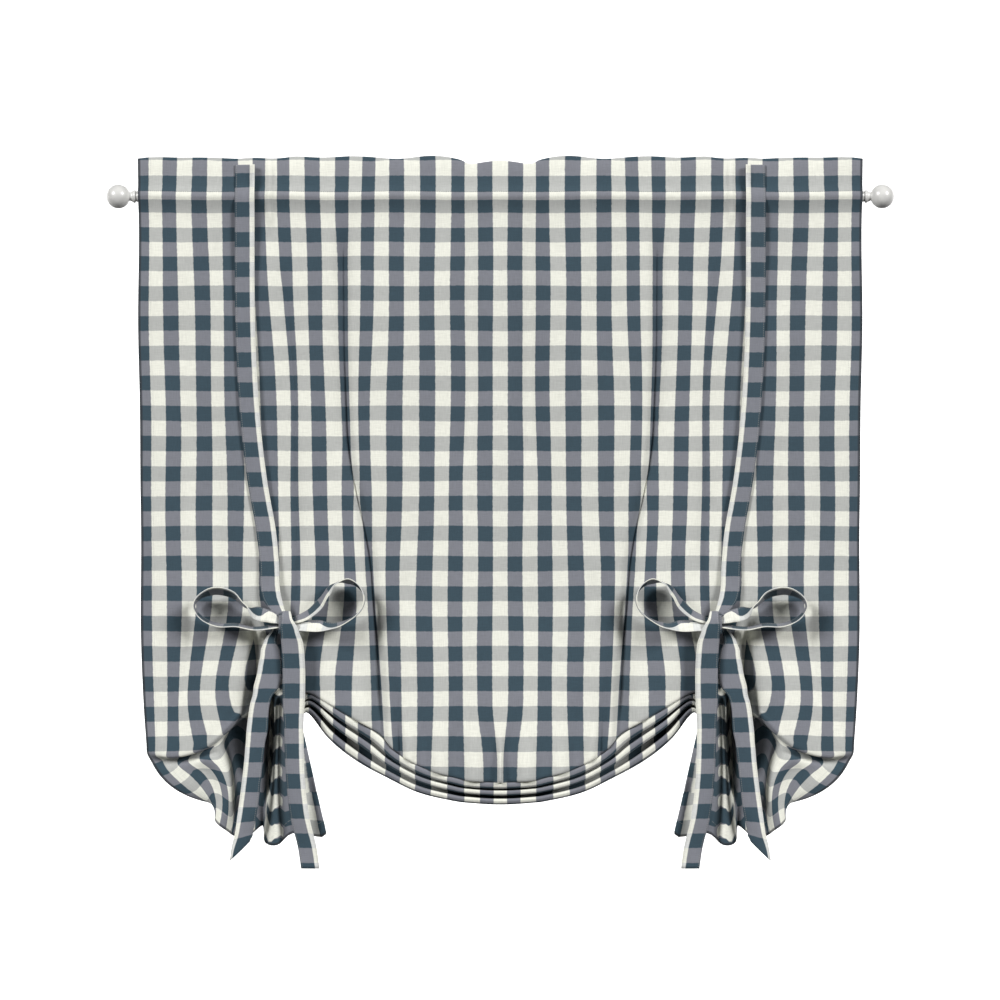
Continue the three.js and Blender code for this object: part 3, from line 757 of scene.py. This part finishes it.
# ties: each strip follows the part's source, with its edges a little curled
tie = {
    "thickness": 1.2, "stepsAlong": 6, "stepsAcross": 8, "reach": 0.02, "cup": 1.2,
    "white": 0.24, "width": 29, "blueWidth": 22, "whiteWidth": 7, "cutLength": 2.06,
    # whiteSide is 1 where a strip's width ends in white, and weaveStart is its first place in the weave
    "strips": named(
        ("rows", "isLoop", "whiteSide", "weaveStart"),
        [
            ("strap", False, -1, -57), ("outerLoop", True, -1, 13), ("innerLoop", True, -1, -6),
            ("outerTail", False, 1, 657), ("innerTail", False, -1, 627), ("wrap", False, -1, 0),
        ]),
    "strap": named(
        ("out", "deep", "level", "width", "lift"),
        [
            (374, -4.4, 46, 29, 8), (374, -4.8, 34, 29, 9), (374, -6, 17, 29, 9), (374, -12, 0, 29, 7),
            (374, -10.5, -28, 29, 4), (373, -10.5, -196, 29, 2), (366, -10.5, -326, 29, 2),
            (355, -10.5, -420, 29, 2), (343, -11, -488, 29, 2), (338, -12, -533, 28, 2),
            (334, -15, -587, 28, 2), (318, -21, -618, 16, 0),
        ]),
    # white gives the share of a strip's width drawn white; 0.24 is the white stripe itself. The loops' first
    # rows beside the knot are drawn mostly white: partly the white edge folded to the front, partly a painted
    # highlight on the fold
    "outerLoop": named(
        ("out", "deep", "level", "width", "lean", "white"),
        [
            (320, -22, -621, 14, 40, 0.8), (336, -27, -615, 19, 18, 0.95), (352, -30, -611, 23, 30, 0.32),
            (372, -30, -599, 28, 104, 0.24), (388, -30, -584, 29, 114, 0.24), (405, -30, -578, 29, 114, 0.24),
            (421, -30, -578, 29, 112, 0.24), (441, -30, -588, 29, 102, 0.24), (447, -30, -601, 29, 92, 0.24),
            (435, -30, -618, 29, 84, 0.24), (411, -30, -628, 29, 82, 0.24), (385, -30, -628, 28, 82, 0.24),
            (359, -28, -633, 22, 80, 0.3), (322, -24, -629, 14, 70, 0.3),
        ]),
    "innerLoop": named(
        ("out", "deep", "level", "width", "lean", "white"),
        [
            (308, -24, -628, 14, 50, 0.8), (290, -28, -629, 18, 40, 0.95), (268, -31, -629, 24, 48, 0.8),
            (242, -32, -629, 28, 76, 0.24), (218, -32, -619, 29, 86, 0.24), (202, -32, -604, 29, 90, 0.24),
            (198, -32, -587, 29, 94, 0.24), (206, -32, -571, 29, 102, 0.24), (221, -32, -563, 29, 106, 0.24),
            (238, -32, -566, 28, 90, 0.3), (251, -30, -578, 27, 58, 0.3), (264, -28, -597, 25, 46, 0.24),
            (282, -25, -613, 20, 48, 0.24), (308, -20, -623, 14, 50, 0.24),
        ]),
    "outerTail": named(
        ("out", "deep", "level", "width", "yaw", "drop", "white"),
        [
            (328, -14, -634, 10, 0, 0, 0.3), (336, -20, -650, 17, 3, 0, 0.3),
            (335.5, -21, -668, 29, 3, 0, 0.22), (336, -21, -690, 36, 4, 0, 0.19),
            (340, -21, -714, 39, 5, 0, 0.18), (348, -21, -733, 29, 8, 0, 0.24),
            (352, -21, -748, 29, 8, 0, 0.24), (355, -21, -780, 31, 5, 0, 0.23),
            (358, -21, -803, 28, 3, 0, 0.24), (361, -21, -832, 27, 0, 0, 0.25),
            (368, -20, -892, 28, -5, 0, 0.24), (374, -21, -930, 28, -20, 8, 0.2),
            (380, -24, -958, 42, -22, 42, 0.1),
        ]),
    "innerTail": named(
        ("out", "deep", "level", "width", "yaw", "drop"),
        [
            (313, -15, -612, 10, 0, 0), (312, -25, -608, 12, 0, 0), (311, -33, -617, 15, 0, 0),
            (307, -34, -634, 26, 0, 0), (303, -31, -656, 32, -3, 0), (301, -29, -690, 33, -5, 0),
            (301, -28, -724, 33, -5, 0), (301, -27, -782, 28, 0, 0), (299, -26, -850, 28, 10, 0),
            (292, -26, -910, 29, 15, 0), (282, -26, -950, 28, 10, 0), (277, -26, -983, 27, 0, 0),
        ]),
    "wrap": named(  # the turn round the middle of the bow, under the inner tail
        ("out", "deep", "level", "width", "yaw", "drop"),
        [
            (317, -12, -624, 14, 0, 0), (316, -15, -615, 15, 0, 0), (315, -23, -612, 16, 0, 0),
            (314, -30, -619, 18, 0, 0), (314, -31, -630, 18, 0, 0), (315, -25, -640, 17, 0, 0),
            (316, -15, -638, 15, 0, 0), (317, -12, -628, 14, 0, 0),
        ]),
}
sideways, inwards, upwards = Vector((1, 0, 0)), Vector((0, 1, 0)), Vector((0, 0, 1))


def turned(degrees, start, end):
    angle = math.radians(degrees)
    return start * math.cos(angle) + end * math.sin(angle)


def loopWay(row):
    return turned(row["lean"], upwards, inwards)


def tailWay(row):
    return turned(row.get("drop", 0), turned(row.get("yaw", 0), sideways, inwards), -upwards)


def stripStations(rows, isLoop, start):  # stations along a strip, from its first place in the weave
    points = [Vector((row["out"], row["deep"], row["level"])) for row in rows]
    last, widthWay = len(rows) - 1, loopWay if isLoop else tailWay
    stations = []
    run = start
    for i in range(last * tie["stepsAlong"] + 1):
        place = i / tie["stepsAlong"]
        index = min(int(place), last - 1)
        share = smooth(0, 1, place - index)
        row, nextRow = rows[index], rows[index + 1]
        centre = throughPoints(points, place)
        ahead = throughPoints(points, min(place + tie["reach"], last))
        tangent = (ahead - throughPoints(points, max(place - tie["reach"], 0))).normalized()
        way = widthWay(row).lerp(widthWay(nextRow), share)
        if isLoop:  # square to the loop's own line
            way -= tangent * way.dot(tangent)
        way.normalize()
        if stations:
            run += (centre - stations[-1]["centre"]).length
        stations.append({
            "centre": centre, "way": way, "face": way.cross(tangent).normalized(), "run": run,
            "width": mix(row["width"], nextRow["width"], share),
            "white": mix(row.get("white", tie["white"]), nextRow.get("white", tie["white"]), share),
            "lift": mix(row.get("lift", 0), nextRow.get("lift", 0), share),
        })
    return stations


def addStrip(bm, strip):
    weave, edge = bm.loops.layers.uv["weave"], bm.loops.layers.uv["edge"]
    stations = stripStations(tie[strip["rows"]], strip["isLoop"], strip["weaveStart"])
    count = len(stations) - 1
    made = bmesh.ops.create_grid(bm, x_segments=tie["stepsAcross"], y_segments=count, size=0.5)["verts"]
    cells = {}
    for vert in made:
        part = vert.co.x + 0.5
        station = stations[round((0.5 - vert.co.y) * count)]
        cells[vert] = (part, station)
        bowed = 4 * (part - 0.5) ** 2 - 0.5  # from -0.5 along the middle to 0.5 at the edges
        curl = tie["cup"] * bowed * station["width"] / tie["width"]
        spot = station["centre"] + station["way"] * station["width"] * (part - 0.5) + station["face"] * curl
        spot.y -= station["lift"] * smooth(0.5, 0, part) ** 2  # the first edge stands proud
        vert.co = spot * mm
    for face in {face for vert in made for face in vert.link_faces}:
        for loop in face.loops:
            part, station = cells[loop.vert]
            across = part if strip["whiteSide"] > 0 else 1 - part
            # a white share beyond the stripe's own width, beside the knot, is partly a painted highlight
            blue = 1 - station["white"]
            if across < blue:
                seen = tie["blueWidth"] * across / blue
            else:
                seen = tie["blueWidth"] + tie["whiteWidth"] * (across - blue) / station["white"]
            loop[weave].uv = (seen * mm, station["run"] * mm)
            loop[edge].uv = (min(part, 1 - part) * station["width"] * mm, 1)


def tiePiece(name, node, side, material):
    strips = bmesh.new()
    strips.loops.layers.uv.new("weave")
    strips.loops.layers.uv.new("edge")
    for strip in tie["strips"]:
        addStrip(strips, strip)
    if side < 0:
        bmesh.ops.scale(strips, vec=(-1, 1, 1), verts=strips.verts)
    bmesh.ops.recalc_face_normals(strips, faces=strips.faces)
    piece = addPiece(name, strips, [material])
    thick = piece.modifiers.new("clothThickness", "SOLIDIFY")
    thick.thickness = tie["thickness"] * mm
    thick.offset = 0
    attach(piece, "root")
    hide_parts(node)
    tie["width"] * mm
    print("tie", name)


# rod and finials, turned about the rod's axis
hardware = {
    "rodRadius": 8, "rodHalf": 534, "gap": 0.3, "collarRadius": 9.5, "collarLength": 4, "neckRadius": 6,
    "ballRadius": 17.6, "ballOut": 560, "sides": 64, "arcSteps": 24, "easing": 1.0, "weld": 1e-6,
}


def turnedPiece(name, profile, node, side, material):  # profile is (out, radius) pairs in millimetres
    bm = bmesh.new()
    verts = [bm.verts.new((side * out * mm, 0, radius * mm)) for out, radius in profile]
    edges = [bm.edges.new(pair) for pair in zip(verts, verts[1:])]
    bmesh.ops.spin(bm, geom=verts + edges, cent=(0, 0, 0), axis=(1, 0, 0), angle=2 * math.pi,
                   steps=hardware["sides"], use_merge=True)
    bmesh.ops.remove_doubles(bm, verts=bm.verts, dist=hardware["weld"])
    bmesh.ops.recalc_face_normals(bm, faces=bm.faces)
    piece = addPiece(name, bm, [material])
    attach(piece, "root")
    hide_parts(node)


def rodPiece(material):
    radius, half, ease = hardware["rodRadius"], hardware["rodHalf"], hardware["easing"]
    profile = [(-half, 0), (-half, radius - ease), (-half + ease, radius), (half - ease, radius),
               (half, radius - ease), (half, 0)]
    turnedPiece("curtain_rod", profile, "rod", 1, material)


def finialPiece(name, node, side, material):
    start, ball, ease = hardware["rodHalf"] + hardware["gap"], hardware["ballRadius"], hardware["easing"]
    collar, length = hardware["collarRadius"], hardware["collarLength"]
    profile = [(start, 0), (start, collar - ease), (start + ease, collar), (start + length - ease, collar),
               (start + length, collar - ease)]
    neck = math.asin(hardware["neckRadius"] / ball)
    for i in range(hardware["arcSteps"] + 1):
        angle = mix(neck, math.pi, i / hardware["arcSteps"])
        profile.append((hardware["ballOut"] - ball * math.cos(angle), ball * math.sin(angle)))
    turnedPiece(name, profile, node, side, material)


addCamera()
addStudio()
print("camera and studio")
panelPiece()
stripMaterial = ginghamMaterial("tieGingham", True)
tiePiece("bow_tie_right", "tie_right", 1, stripMaterial)
tiePiece("bow_tie_left", "tie_left", -1, stripMaterial)
whitePaint = enamelMaterial()
rodPiece(whitePaint)
finialPiece("ball_finial_right", "finial_right", 1, whitePaint)
finialPiece("ball_finial_left", "finial_left", -1, whitePaint)
print("rod and finials")
